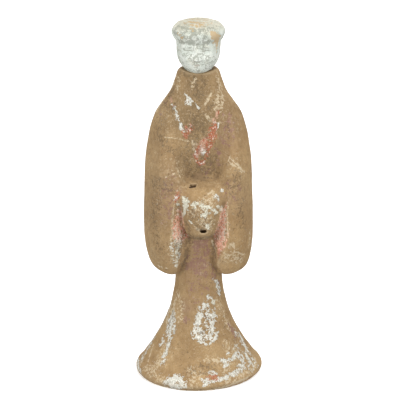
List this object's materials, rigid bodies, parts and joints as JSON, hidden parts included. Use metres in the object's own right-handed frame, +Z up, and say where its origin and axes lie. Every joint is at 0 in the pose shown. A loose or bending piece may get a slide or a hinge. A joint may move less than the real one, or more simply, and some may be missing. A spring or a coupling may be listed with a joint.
{
  "type": "tomb figurine",
  "caption": "Standing robed attendant in fired clay: hollow flared skirt to stand on, hanging sleeves over clasped hands, and a separate capped head set in the collar.",
  "frame": {"origin": "centre of the hem's flat underside, on the ground", "axes": "+Z up through the head, -Y the way the figure faces, +X towards the figure's left hand"},
  "size_m": [0.1633, 0.1634, 0.4607],
  "materials": {
    "fired_clay": "matte",
    "white_slip": "matte"
  },
  "bodies": {
    "root": {"body": "fired_clay", "head": "white_slip"}
  },
  "joints": []
}
